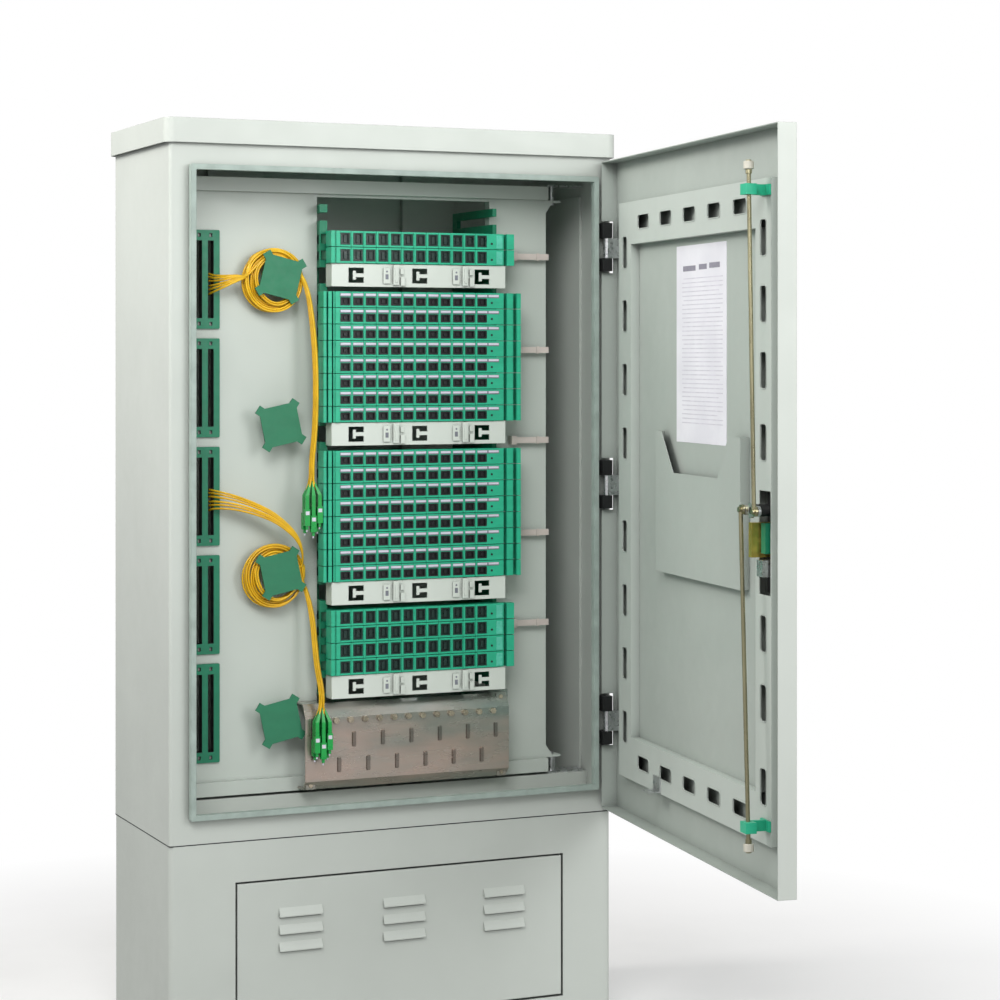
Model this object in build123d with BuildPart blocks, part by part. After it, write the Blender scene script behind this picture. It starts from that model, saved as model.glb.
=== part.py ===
"""Roadside cross-connect cabinet for optical fibre, standing on a plinth, its door open.

Millimetres. +X to the right along the front, +Y to the back, +Z up. The origin is on the
ground, at the middle of the plinth's footprint and of its four anchor holes.
"""

import os
from math import cos, pi, radians, sin, tan

from build123d import *

os.makedirs("parts", exist_ok=True)

# Overall sizes
body_width = 750
body_depth = 307
body_height = 1071
plinth_height = 337
sheet = 2
cap_height = 42
cap_overhang = 8

left = -body_width / 2
right = body_width / 2
front = -body_depth / 2
back = body_depth / 2
floor = plinth_height
eaves = floor + body_height

# Front opening of the body and the seal on its turned-out lip
opening_width = 681
opening_low = floor + 44
opening_high = floor + 1033
lip_reach = 14
seal_width = 8.5
seal_reach = 16
seal_slot = 9

# Door, in its own frame: s from the hinge line to the free edge, z up, w towards the inside
hinge_x = right - 14.5
hinge_y = front - 16
door_angle = 82.4
door_left_gap = 9
door_right_gap = 8
door_low = floor + 8
door_high = floor + 1063
door_depth = 28
door_rim = 8
door_sheet = 1.5
s_hinge = hinge_x - (right - door_right_gap)
s_free = hinge_x - (left + door_left_gap)
w_rim = door_rim
w_out = door_rim - door_depth
w_skin = w_out + door_sheet

# Inner frame of the door
frame_low = floor + 70
frame_high = floor + 992
frame_s0 = 46
frame_s1 = s_free - 50.5
frame_bar = 68
frame_channel = 57
frame_face = -4
frame_sheet = 1.5
frame_slot = (21, 50)
frame_hole = (50, 21)
hole_corner = 5
hole_pitch = 100
slot_heights_hinge = [912, 810, 708, 606, 457, 354, 253, 151]
slot_heights_free = [910, 818, 726, 626, 361, 265, 149]

# Door hinges
hinge_heights = [floor + 922, floor + 535, floor + 150]
pin_radius = 3
pin_clearance = 0.05
knuckle_radius = 6
knuckle_high = 24.6
knuckle_mid = 33
knuckle_low = 21
knuckle_gap = 0.3

# Rods and lock: each rod leans from its roller to its own end of the cam
rod_radius = 3
rod_s = s_free - 59.5
rod_w = 26
roller_radius = 7.3
roller_length = 11
axle_radius = 2
collar_radius = 4.5
collar_length = 6
upper_roller_z = floor + 1008
lower_roller_z = floor + 70
guide_height = 15
upper_guide_z = floor + 975
lower_guide_z = floor + 98
lock_z = floor + 533
cam_s = s_free - 64.5
crank = 24
cam_thick = 4
cam_gap = 0.4
lock_s0 = s_free - 92.5
lock_s1 = s_free - 54.5
lock_low = floor + 416
lock_high = floor + 558
running = 0.3

# Swing frame that carries the fibre trays
panel_depth = 95
strip_depth = 85
swing_left = left + 46
swing_right = right - 73
sill_high = floor + 52
bracket_thick = 3
pivot_gap = 1
swing_low = sill_high + bracket_thick + pivot_gap
swing_high = floor + 1027
strip_height = 22
bay_left = left + 272.5
bay_right = left + 574
bay_low = floor + 66
bay_high = floor + 1000
bay_return = 18
pivot_x = right - 59
pivot_depth = 104
pivot_radius = 4
pivot_collar = 7
pivot_overrun = 4
ear_thick = 3.5

# Fibre trays
tray_rows = [2, 8, 8, 4]
tray_pitch = 26
tray_gap = 1
stack_top = floor + 945
strip_tall = 38
strip_seat = 6
group_gap = 6
tray_face = 38
bezel_depth = 26
field_left = left + 279
field_right = left + 574
flange_step = 8
flange_left = {True: 17, False: 4}
flange_right = {True: 30, False: 18}
flange_depths = (14, 6)
band_proud = 2
bands_left = {True: [(-17, -12), (-9, -3), (3, 10.5)], False: [(-4, 2), (4.5, 11)]}
bands_right = {True: [(5, 16), (22.5, 30)], False: [(5, 18)]}
ports = 12
port_first = left + 299.5
port_pitch = 21.5
port_low = 3
port_size = {True: (15, 13), False: (16.5, 19)}
port_depth = 4
port_rib = (2.6, 1.4)
cassette_height = 14
cassette_back = 232
rack_thick = 7
rack_clear = 0.8
ledge = 4

# Cable entry plates, spools, straps and clamp
entry_x = left + 85
entry_width = 48
entry_height = 155
entry_pitch = 170
entry_top = floor + 943.5
entry_thick = 4
entry_slot = (9.5, 122)
entry_slot_spread = 19
spool_x = left + 200
spool_z = floor + 870
spool_pitch = 233
spool_size = 62
spool_ear = 14
spool_turn = [-14, 12, 12, 12]
spool_reach = 35
spool_plate = 3
hub_radius = 20
strap_heights = [floor + 910, floor + 756, floor + 607, floor + 454, floor + 305]
clamp_left = left + 236
clamp_right = left + 588
clamp_low = floor + 60
clamp_high = floor + 196
clamp_depth = 48
clamp_sheet = 2
clamp_screws_count = 12

# Fibre bundles
bundle_radius = 4


def export(part, label):
    """Name a finished piece and write it."""
    part.part.label = label
    export_step(part.part, f"parts/{label}.step")


def block(low, high, mode=Mode.ADD):
    """A plain block between two opposite corners, in the part's own plane."""
    size = [b - a for a, b in zip(low, high)]
    with Locations(low):
        Box(*size, align=(Align.MIN, Align.MIN, Align.MIN), mode=mode)


def facing(depth):
    """A sketch plane seen from the front, at a depth behind the body's front face."""
    return Plane(origin=(0, front + depth, 0), x_dir=(1, 0, 0), z_dir=(0, -1, 0))


def door_plane(w=0):
    """A sketch plane on the door: x along it from the hinge, y up, z towards the inside."""
    a = radians(door_angle)
    along = Vector(-cos(a), -sin(a), 0)
    inward = Vector(-sin(a), cos(a), 0)
    return Plane(origin=Vector(hinge_x, hinge_y, 0) + inward * w, x_dir=along, z_dir=inward)


def between(x0, x1, z0, z1):
    """Middle and size of a rectangle given by its limits."""
    return ((x0 + x1) / 2, (z0 + z1) / 2), (x1 - x0, z1 - z0)


# Plinth: a welded box with a foot flange, an opening in front and an open top
foot_flange = 40
anchor_x = 650
anchor_y = 260
anchor_radius = 7
cover_left = left + 108
cover_right = left + 660
cover_low = 45
cover_high = floor - 66
cover_gap = 3
rebate_depth = 14
rebate_lip = 14
plinth_corner = 10

cover_mid, cover_size = between(cover_left, cover_right, cover_low, cover_high)
with BuildPart() as plinth_shell:
    with BuildSketch():
        RectangleRounded(body_width, body_depth, plinth_corner)
        RectangleRounded(
            body_width - 2 * sheet, body_depth - 2 * sheet, plinth_corner - sheet, mode=Mode.SUBTRACT
        )
    extrude(amount=plinth_height)
    with BuildSketch():
        RectangleRounded(body_width - 2 * sheet, body_depth - 2 * sheet, plinth_corner - sheet)
        Rectangle(body_width - 2 * foot_flange, body_depth - 2 * foot_flange, mode=Mode.SUBTRACT)
        with GridLocations(anchor_x, anchor_y, 2, 2):
            Circle(anchor_radius, mode=Mode.SUBTRACT)
    extrude(amount=2 * sheet)
    with BuildSketch(Plane.XY.offset(plinth_height - sheet)):
        RectangleRounded(body_width - 2 * sheet, body_depth - 2 * sheet, plinth_corner - sheet)
        Rectangle(body_width - 2 * foot_flange, body_depth - 2 * foot_flange, mode=Mode.SUBTRACT)
    extrude(amount=sheet)
    with BuildSketch(facing(rebate_depth)):
        with Locations(cover_mid):
            Rectangle(cover_size[0] + 2 * (cover_gap + sheet), cover_size[1] + 2 * (cover_gap + sheet))
    extrude(amount=rebate_depth)
    with BuildSketch(facing(rebate_depth - sheet)):
        with Locations(cover_mid):
            Rectangle(cover_size[0] + 2 * cover_gap, cover_size[1] + 2 * cover_gap)
    extrude(amount=rebate_depth, mode=Mode.SUBTRACT)
    with BuildSketch(facing(rebate_depth)):
        with Locations(cover_mid):
            Rectangle(cover_size[0] - 2 * rebate_lip, cover_size[1] - 2 * rebate_lip)
    extrude(amount=rebate_depth, mode=Mode.SUBTRACT)
export(plinth_shell, "plinth_shell")

# Plinth cover: a shallow pan with nine pressed louvres
louvre_length = 71
louvre_pitch_x = 173
louvre_pitch_z = 26.6
louvre_middle = floor - 142
louvre_bulge = 6
louvre_height = 14
with BuildPart() as plinth_cover:
    with BuildSketch(facing(rebate_depth - sheet)):
        with Locations(cover_mid):
            Rectangle(*cover_size)
    extrude(amount=rebate_depth - sheet)
    fillet(plinth_cover.faces().sort_by(Axis.Y)[0].edges(), radius=sheet)
    with BuildSketch(facing(rebate_depth)):
        with Locations(cover_mid):
            Rectangle(cover_size[0] - 2 * sheet, cover_size[1] - 2 * sheet)
    extrude(amount=rebate_depth - sheet, mode=Mode.SUBTRACT)
    for column in (-1, 0, 1):
        for row in (-1, 0, 1):
            x0 = cover_mid[0] + column * louvre_pitch_x - louvre_length / 2
            z0 = louvre_middle + row * louvre_pitch_z
            for inset, mode in ((0, Mode.ADD), (sheet, Mode.SUBTRACT)):
                with BuildSketch(Plane.YZ.offset(x0 + inset)):
                    with BuildLine():
                        top = (front, z0 + louvre_height / 2 - inset)
                        nose = (front - louvre_bulge + inset, z0 - louvre_height / 2 + 2)
                        low = (front - louvre_bulge + inset, z0 - louvre_height / 2 - inset)
                        heel = (front + sheet + inset, z0 - louvre_height / 2 - inset)
                        Polyline(top, nose, low, heel, (front + sheet + inset, top[1]), top)
                    make_face()
                extrude(amount=louvre_length - 2 * inset, mode=mode)
export(plinth_cover, "plinth_cover")

# Body: folded shell with a turned-out lip round the opening, a sill, a hinge-side rail,
# two hat sections on the back wall and a cable slot in the floor
body_corner = 5
attic = 14
rail_width = 4
rail_from = 105
rail_top = floor + 1013
hat_width = 96
hat_depth = 12
hat_spread = 346
floor_slot = (420, 70)
opening_mid, opening_size = between(-opening_width / 2, opening_width / 2, opening_low, opening_high)
with BuildPart() as body_shell:
    with BuildSketch(Plane.XY.offset(floor)):
        RectangleRounded(body_width, body_depth, body_corner)
    extrude(amount=body_height + attic)
    with BuildSketch(Plane.XY.offset(floor + sheet)):
        RectangleRounded(body_width - 2 * sheet, body_depth - 2 * sheet, body_corner - sheet)
    extrude(amount=body_height + attic - 2 * sheet, mode=Mode.SUBTRACT)
    with BuildSketch(facing(sheet)):
        with Locations(opening_mid):
            Rectangle(opening_size[0] + 2 * sheet, opening_size[1] + 2 * sheet)
    extrude(amount=sheet + lip_reach)
    with BuildSketch(facing(sheet)):
        with Locations(opening_mid):
            Rectangle(*opening_size)
    extrude(amount=sheet + lip_reach, mode=Mode.SUBTRACT)
    block((left + sheet, front + strip_depth, floor + sheet), (right - sheet, front + strip_depth + sheet, sill_high))
    block((left + sheet, front + strip_depth, sill_high - sheet), (right - sheet, front + strip_depth + 20, sill_high))
    block((right - sheet - rail_width, front + rail_from, floor + sheet), (right - sheet, back - sheet, rail_top))
    for middle in (-hat_spread / 2, hat_spread / 2):
        hat_y = back - sheet
        block(
            (middle - hat_width / 2, hat_y - hat_depth, floor + sheet),
            (middle + hat_width / 2, hat_y, eaves + attic - sheet),
        )
        block(
            (middle - hat_width / 2 + sheet, hat_y - hat_depth + sheet, floor + sheet),
            (middle + hat_width / 2 - sheet, hat_y, eaves + attic - sheet),
            mode=Mode.SUBTRACT,
        )
    with BuildSketch(Plane.XY.offset(floor)):
        with Locations((0, 30)):
            SlotOverall(*floor_slot)
    extrude(amount=sheet, mode=Mode.SUBTRACT)
export(body_shell, "body_shell")

# Seal: a profile pushed on to the lip, a mitred ring
seal_middle = sheet / 2
with BuildPart() as door_seal:
    outer = [size + 2 * (seal_middle + seal_width / 2) for size in opening_size]
    inner = [size + 2 * (seal_middle - seal_width / 2) for size in opening_size]
    with BuildSketch(facing(-seal_reach)):
        with Locations(opening_mid):
            RectangleRounded(*outer, 3)
            Rectangle(*inner, mode=Mode.SUBTRACT)
    extrude(amount=-(seal_reach - lip_reach + seal_slot))
    with BuildSketch(facing(-lip_reach)):
        with Locations(opening_mid):
            Rectangle(opening_size[0] + 2 * sheet, opening_size[1] + 2 * sheet)
            Rectangle(*opening_size, mode=Mode.SUBTRACT)
    extrude(amount=-seal_slot, mode=Mode.SUBTRACT)
export(door_seal, "door_seal")

# Roof cap: a crowned pan with a skirt, standing on two bearers over the body's top
cap_corner = 16
cap_crown = 4
bearer = (30, 200)
cap_width = body_width + 2 * cap_overhang
cap_depth = body_depth + 2 * cap_overhang
with BuildPart() as roof_cap:
    with BuildSketch(Plane.XY.offset(eaves)):
        RectangleRounded(cap_width, cap_depth, cap_corner)
    extrude(amount=cap_height - cap_crown)
    with BuildSketch(Plane.XY.offset(eaves + cap_height - cap_crown)):
        RectangleRounded(cap_width, cap_depth, cap_corner)
    with BuildSketch(Plane.XY.offset(eaves + cap_height)):
        RectangleRounded(cap_width - 90, cap_depth - 90, cap_corner)
    loft()
    with BuildSketch(Plane.XY.offset(eaves)):
        RectangleRounded(cap_width - 2 * sheet, cap_depth - 2 * sheet, cap_corner - sheet)
    extrude(amount=cap_height - cap_crown - sheet, mode=Mode.SUBTRACT)
    for side in (-1, 1):
        block(
            (side * 250 - bearer[0] / 2, -bearer[1] / 2, eaves + attic),
            (side * 250 + bearer[0] / 2, bearer[1] / 2, eaves + cap_height - cap_crown - sheet),
        )
export(roof_cap, "roof_cap")

# Door pan: skin with four rims, cut away on the hinge side where the hinge arms pass
relief = (3, 12)
with BuildPart(door_plane()) as door_pan:
    block((s_hinge, door_low, w_out), (s_free, door_high, w_rim))
    fillet(door_pan.faces().sort_by(Axis.X)[-1].edges(), radius=door_sheet)
    block(
        (s_hinge + door_sheet, door_low + door_sheet, w_skin),
        (s_free - door_sheet, door_high - door_sheet, w_rim),
        mode=Mode.SUBTRACT,
    )
    for z in hinge_heights:
        block(
            (s_hinge, z - knuckle_mid / 2 - knuckle_low - relief[0], -relief[1]),
            (s_hinge + door_sheet, z + knuckle_mid / 2 + knuckle_high + relief[0], w_rim),
            mode=Mode.SUBTRACT,
        )
    block((lock_s0, lock_low, w_out), (lock_s1, lock_high, w_skin), mode=Mode.SUBTRACT)
export(door_pan, "door_pan")

# Inner frame of the door: four channels in one ring, pierced all round
holes_mid = (frame_s0 + frame_s1) / 2
with BuildPart(door_plane()) as door_frame:
    window_s0 = frame_s0 + frame_channel
    window_s1 = frame_s1 - frame_channel
    window_low = frame_low + frame_bar
    window_high = frame_high - frame_bar
    t = frame_sheet
    block((frame_s0, frame_low, w_skin), (frame_s1, frame_high, frame_face))
    block((frame_s0 + t, frame_low + t, w_skin), (frame_s1 - t, frame_high - t, frame_face - t), mode=Mode.SUBTRACT)
    block((window_s0 - t, window_low - t, w_skin), (window_s1 + t, window_high + t, frame_face))
    block((window_s0, window_low, w_skin), (window_s1, window_high, frame_face), mode=Mode.SUBTRACT)
    with BuildSketch(door_plane(frame_face)):
        with Locations(*[(frame_s0 + frame_channel / 2, floor + z) for z in slot_heights_hinge]):
            RectangleRounded(*frame_slot, hole_corner)
        with Locations(*[(frame_s1 - frame_channel / 2, floor + z) for z in slot_heights_free]):
            RectangleRounded(*frame_slot, hole_corner)
        for z in (frame_low + frame_bar / 2, frame_high - frame_bar / 2):
            with Locations((holes_mid, z)):
                with GridLocations(hole_pitch, 1, 5, 1):
                    RectangleRounded(*frame_hole, hole_corner)
        with Locations(((lock_s0 + lock_s1) / 2, (lock_low + lock_high) / 2)):
            Rectangle(lock_s1 - lock_s0 + 2, lock_high - lock_low + 2)
    extrude(amount=-t, mode=Mode.SUBTRACT)
export(door_frame, "door_frame")

# Document pocket with its dipped mouth, and the sheet of instructions above it
pocket_s0 = 216
pocket_s1 = 562
pocket_low = floor + 413
pocket_high = floor + 630
pocket_depth = 14
pocket_sheet = 1.2
notch_low = floor + 568
with BuildPart(door_plane()) as document_pocket:
    p = pocket_sheet
    block((pocket_s0, pocket_low, w_skin), (pocket_s1, pocket_high, w_skin + pocket_depth))
    block(
        (pocket_s0 + p, pocket_low + p, w_skin),
        (pocket_s1 - p, pocket_high, w_skin + pocket_depth - p),
        mode=Mode.SUBTRACT,
    )
    with BuildSketch(door_plane(w_skin + pocket_depth)):
        with BuildLine():
            Polyline(
                (pocket_s0 + 24, pocket_high),
                (pocket_s0 + 76, notch_low),
                (pocket_s1 - 88, notch_low),
                (pocket_s1 - 46, pocket_high),
                close=True,
            )
        make_face()
    extrude(amount=-p, mode=Mode.SUBTRACT)
export(document_pocket, "document_pocket")

with BuildPart(door_plane()) as instruction_sheet:
    block((272, floor + 615, w_skin), (476, floor + 913, w_skin + 0.5))
export(instruction_sheet, "instruction_sheet")

# Door hinges: a black bracket on the body, a zinc leaf on the door and a pin in each
bracket_left = right - 25
bracket_right = hinge_x + knuckle_radius
with BuildPart() as hinge_brackets:
    for z in hinge_heights:
        top = z + knuckle_mid / 2
        low = z - knuckle_mid / 2
        block((bracket_left, hinge_y - 7, top), (bracket_right, front, top + knuckle_high))
        block((bracket_left, hinge_y - 7, low - knuckle_low), (bracket_right, front, low))
    with Locations(*[(hinge_x, hinge_y, z) for z in hinge_heights]):
        Cylinder(pin_radius + pin_clearance, 90, mode=Mode.SUBTRACT)
export(hinge_brackets, "hinge_brackets")

with BuildPart() as hinge_pins:
    with Locations(*[(hinge_x, hinge_y, z + (knuckle_high - knuckle_low) / 2) for z in hinge_heights]):
        Cylinder(pin_radius, knuckle_low + knuckle_mid + knuckle_high)
export(hinge_pins, "hinge_pins")

with BuildPart(door_plane()) as hinge_leaves:
    for z in hinge_heights:
        low = z - knuckle_mid / 2 + knuckle_gap
        high = z + knuckle_mid / 2 - knuckle_gap
        block((s_hinge + door_sheet, low, w_skin), (4, high, 0))
        with BuildSketch(Plane.XY.offset(low)):
            with Locations((hinge_x, hinge_y)):
                Circle(knuckle_radius)
        extrude(amount=high - low)
        with BuildSketch(Plane.XY.offset(low)):
            with Locations((hinge_x, hinge_y)):
                Circle(pin_radius + pin_clearance)
        extrude(amount=high - low, mode=Mode.SUBTRACT)
export(hinge_leaves, "hinge_leaves")

# Rods with their rollers: each rod runs from its roller to an eye that lies on the cam
eye_radius = 7
eye_lap = 1
eye_head = (4, 3.6)
eye_w = rod_w - rod_radius - eye_lap
cam_w = eye_w - cam_gap
axle_cap = 1.5


def on_door(s, z, w):
    """A point of the door in the part's own frame."""
    return door_plane().from_local_coords(Vector(s, z, w))


def rod_plane(way, roller_z):
    """A plane across a rod at the middle of its roller, facing away from the lock."""
    roller = on_door(rod_s, roller_z, rod_w)
    eye = on_door(cam_s + way * crank, lock_z, rod_w)
    return Plane(origin=roller, x_dir=door_plane().z_dir, z_dir=roller - eye), (roller - eye).length


def turned(plane, start, end, radius, mode=Mode.ADD):
    """A round length of a rod, between two distances from the middle of its roller."""
    with BuildSketch(plane.offset(start)) as disc:
        Circle(radius)
    extrude(disc.sketch, amount=end - start, mode=mode)


half_roller = roller_length / 2
shoulder = -half_roller - running
for name, way, roller_z in (("upper", 1, upper_roller_z), ("lower", -1, lower_roller_z)):
    across, length = rod_plane(way, roller_z)
    with BuildPart(door_plane()) as rod:
        turned(across, -length, shoulder, rod_radius)
        turned(across, shoulder - collar_length, shoulder, collar_radius)
        turned(across, shoulder, half_roller + running, axle_radius)
        turned(across, half_roller + running, half_roller + running + axle_cap, axle_radius + 2)
        for low_w, high_w, radius in (
            (eye_w, rod_w, eye_radius),
            (rod_w, rod_w + eye_head[1], eye_head[0]),
        ):
            with BuildSketch(door_plane(low_w)):
                with Locations((cam_s + way * crank, lock_z)):
                    Circle(radius)
            extrude(amount=high_w - low_w)
    export(rod, f"{name}_rod")

    with BuildPart() as roller:
        turned(across, -half_roller, half_roller, roller_radius)
        fillet(roller.edges(), radius=1)
        turned(across, -half_roller, half_roller, axle_radius + pin_clearance, mode=Mode.SUBTRACT)
    export(roller, f"{name}_roller")

# Guides that hold the rods off the frame: a foot, a wall and a bored block
guide_wall = 8
guide_web = 3
guide_foot = (16, 3)
guide_lip = 2
with BuildPart(door_plane()) as rod_guides:
    for way, roller_z, z in ((1, upper_roller_z, upper_guide_z), (-1, lower_roller_z, lower_guide_z)):
        low = z - guide_height / 2
        high = z + guide_height / 2
        across, length = rod_plane(way, roller_z)
        inner = rod_s - guide_wall
        outer = rod_s + guide_wall
        block((inner - guide_foot[0], low, frame_face), (outer, high, frame_face + guide_foot[1]))
        block((inner - guide_web, low, frame_face), (inner + guide_web, high, rod_w + guide_wall))
        block((inner, low, rod_w - guide_wall), (outer + guide_lip, high, rod_w + guide_wall))
        reach = abs(roller_z - z) + guide_height
        turned(across, -reach, -reach + 2 * guide_height, rod_radius + running, mode=Mode.SUBTRACT)
export(rod_guides, "rod_guides")

# Lock: a case through the door with a flange outside, a boss for the spindle, and a key
# barrel, a guard and a latch inside; the cam inside and the handle outside turn together
spindle_radius = 5
case_flange = (46, 190)
flange_thick = 3
case_z = lock_z - 50
case_gap = 1
boss_radius = 8.5
barrel_place = ((4, 15), (66, 18), 14)
guard_place = ((20, 35), (60, 18), 2)
latch_place = ((14, 34), (92, 69), 6)
w_flange = w_out - flange_thick
with BuildPart(door_plane()) as lock_case:
    case_s = (lock_s0 + lock_s1) / 2
    with BuildSketch(door_plane(w_out)):
        with Locations((case_s, case_z)):
            RectangleRounded(*case_flange, 8)
    extrude(amount=-flange_thick)
    block((lock_s0 + case_gap, lock_low + case_gap, w_out), (lock_s1 - case_gap, lock_high - case_gap, w_skin + 3))
    for (s0, s1), (under, over), w in (barrel_place, guard_place, latch_place):
        block((lock_s0 + s0, lock_z - under, w_skin), (lock_s0 + s1, lock_z - over, w))
    with BuildSketch(door_plane(w_flange)):
        with Locations((cam_s, lock_z)):
            Circle(boss_radius)
    extrude(amount=cam_w - cam_thick - running - w_flange)
    with BuildSketch(door_plane(w_flange)):
        with Locations((cam_s, lock_z)):
            Circle(spindle_radius + pin_clearance)
    extrude(amount=cam_w - w_flange, mode=Mode.SUBTRACT)
export(lock_case, "lock_case")

with BuildPart(door_plane()) as lock_cam:
    with BuildSketch(door_plane(cam_w - cam_thick)):
        with Locations((cam_s, lock_z)):
            SlotOverall(2 * (crank + eye_radius), 2 * eye_radius)
            SlotOverall(3 * eye_radius, 2 * eye_radius, rotation=90)
            Circle(spindle_radius, mode=Mode.SUBTRACT)
    extrude(amount=cam_thick)
export(lock_cam, "lock_cam")

handle_length = 130
handle_width = 26
handle_thick = 16
handle_grip = 4
w_handle = w_flange - running
with BuildPart(door_plane()) as door_handle:
    with BuildSketch(door_plane(w_handle)):
        with Locations((cam_s + handle_width / 2 - handle_length / 2, lock_z)):
            RectangleRounded(handle_length, handle_width, handle_width / 2 - 1)
    extrude(amount=-handle_thick)
    fillet(door_handle.faces().sort_by(Axis.X)[-1].edges(), radius=handle_grip)
    with BuildSketch(door_plane(w_handle)):
        with Locations((cam_s, lock_z)):
            Circle(spindle_radius)
    extrude(amount=cam_w - w_handle)
export(door_handle, "door_handle")

# Bracket for the door stay, on the lower edge of the frame
stay_s = 210
stay_wide = 30
stay_tall = 24
stay_reach = 20
stay_hole = (12, 3)
stay_low = frame_low + 2
with BuildPart(door_plane()) as stay_bracket:
    block((stay_s, stay_low, frame_face), (stay_s + stay_wide, stay_low + stay_tall, frame_face + sheet))
    block((stay_s, stay_low, frame_face), (stay_s + stay_wide, stay_low + sheet, frame_face + stay_reach))
    with BuildSketch(Plane.XY.offset(stay_low)):
        middle = on_door(stay_s + stay_wide / 2, 0, frame_face + stay_hole[0])
        with Locations((middle.X, middle.Y)):
            Circle(stay_hole[1])
    extrude(amount=sheet, mode=Mode.SUBTRACT)
export(stay_bracket, "stay_bracket")

# Swing frame: a folded panel with a standing-forward strip above and below, a bay for the
# trays, five cable cut-outs and two ears with gussets for its pivots
entry_zs = [entry_top - entry_height / 2 - n * entry_pitch for n in range(5)]
ear_right = pivot_x + 13
gusset = (16, 20)
with BuildPart() as swing_frame:
    x_side = ((swing_left + swing_right) / 2, (swing_low + swing_high) / 2)
    with BuildSketch(facing(panel_depth + sheet)):
        with Locations(x_side):
            Rectangle(swing_right - swing_left, swing_high - swing_low)
        bay_mid, bay_size = between(bay_left, bay_right, bay_low, bay_high)
        with Locations(bay_mid):
            Rectangle(*bay_size, mode=Mode.SUBTRACT)
        with Locations(*[(entry_x, z) for z in entry_zs]):
            Rectangle(entry_width - 14, entry_height - 24, mode=Mode.SUBTRACT)
    extrude(amount=sheet)
    for low, high in ((swing_high - strip_height, swing_high), (swing_low, swing_low + strip_height)):
        block((swing_left, front + strip_depth, low), (swing_right, front + panel_depth + sheet, high))
        block(
            (swing_left, front + strip_depth + sheet, low + sheet),
            (swing_right, front + panel_depth + sheet, high - sheet),
            mode=Mode.SUBTRACT,
        )
    for edge, step in ((swing_left, sheet), (swing_right, -sheet)):
        x0, x1 = sorted((edge, edge + step))
        block((x0, front + panel_depth, swing_low), (x1, front + panel_depth + 20, swing_high))
    for edge, step in ((bay_left, -sheet), (bay_right, sheet)):
        x0, x1 = sorted((edge, edge + step))
        block((x0, front + panel_depth, bay_low), (x1, front + panel_depth + bay_return, bay_high))
    for ear_z, way in ((swing_high - strip_height - ear_thick, -1), (swing_low + strip_height, 1)):
        block(
            (swing_right - sheet, front + panel_depth, ear_z),
            (ear_right, front + panel_depth + 20, ear_z + ear_thick),
        )
        face = ear_z if way < 0 else ear_z + ear_thick
        with BuildSketch(facing(panel_depth + sheet)):
            with BuildLine():
                Polyline(
                    (swing_right - sheet, face),
                    (swing_right + gusset[0] - 4, face),
                    (swing_right - sheet, face + way * gusset[1]),
                    close=True,
                )
            make_face()
        extrude(amount=sheet)
        with BuildSketch(Plane.XY.offset(ear_z)):
            with Locations((pivot_x, front + pivot_depth)):
                Circle(pivot_radius + pin_clearance)
        extrude(amount=ear_thick, mode=Mode.SUBTRACT)
export(swing_frame, "swing_frame")

# Pivot brackets on the body's side: each has a welded pin for an ear, and the lower pin
# has a collar that carries the frame
pivot_y = front + pivot_depth
bracket_reach = (12, 16)
upper_ear = swing_high - strip_height - ear_thick
lower_ear = swing_low + strip_height
with BuildPart() as pivot_brackets:
    for plate_z in (sill_high, swing_high + pivot_gap):
        block(
            (pivot_x - bracket_reach[0], pivot_y - bracket_reach[0], plate_z),
            (right - sheet - rail_width, pivot_y + bracket_reach[1], plate_z + bracket_thick),
        )
    for radius, low, high in (
        (pivot_radius, sill_high + bracket_thick, lower_ear + ear_thick + pivot_overrun),
        (pivot_collar, sill_high + bracket_thick, lower_ear - running),
        (pivot_radius, upper_ear - pivot_overrun, swing_high + pivot_gap),
    ):
        with BuildSketch(Plane.XY.offset(low)):
            with Locations((pivot_x, pivot_y)):
                Circle(radius)
        extrude(amount=high - low)
export(pivot_brackets, "pivot_brackets")

# Cable entry plates: green plates with two long slots and small lacing holes at the ends
with BuildPart() as entry_plates:
    with BuildSketch(facing(panel_depth)):
        for z in entry_zs:
            with Locations((entry_x, z)):
                RectangleRounded(entry_width, entry_height, 2)
                with GridLocations(entry_slot_spread, 1, 2, 1):
                    Rectangle(*entry_slot, mode=Mode.SUBTRACT)
                with GridLocations(entry_slot_spread, entry_height - 16, 2, 2):
                    Rectangle(5, 6, mode=Mode.SUBTRACT)
    extrude(amount=entry_thick)
export(entry_plates, "entry_plates")

# Fibre spools: a hub on the panel and a square plate with four ears, turned a little
with BuildPart() as fibre_spools:
    for n, turn in enumerate(spool_turn):
        z = spool_z - n * spool_pitch
        with BuildSketch(facing(panel_depth)):
            with Locations((spool_x, z)):
                Circle(hub_radius)
        extrude(amount=spool_reach - spool_plate)
        with BuildSketch(facing(panel_depth - spool_reach + spool_plate)):
            with Locations(Location((spool_x, z, 0), turn)):
                RectangleRounded(spool_size, spool_size, 5)
                with PolarLocations(spool_size / 2 + 4, 4, start_angle=45):
                    Rectangle(spool_ear + 8, spool_ear)
        extrude(amount=spool_plate)
export(fibre_spools, "fibre_spools")


def rows():
    """The underside of every tray, whether its group is full, and each label strip's underside."""
    trays = []
    wide = []
    strips = []
    z = stack_top
    for count in tray_rows:
        for _ in range(count):
            z -= tray_pitch
            trays.append(z)
            wide.append(count == max(tray_rows))
        z -= strip_tall
        strips.append(z)
        z -= group_gap
    return trays, wide, strips


tray_zs, tray_wide, strip_zs = rows()
rack_front = tray_face + bezel_depth + 2

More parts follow.
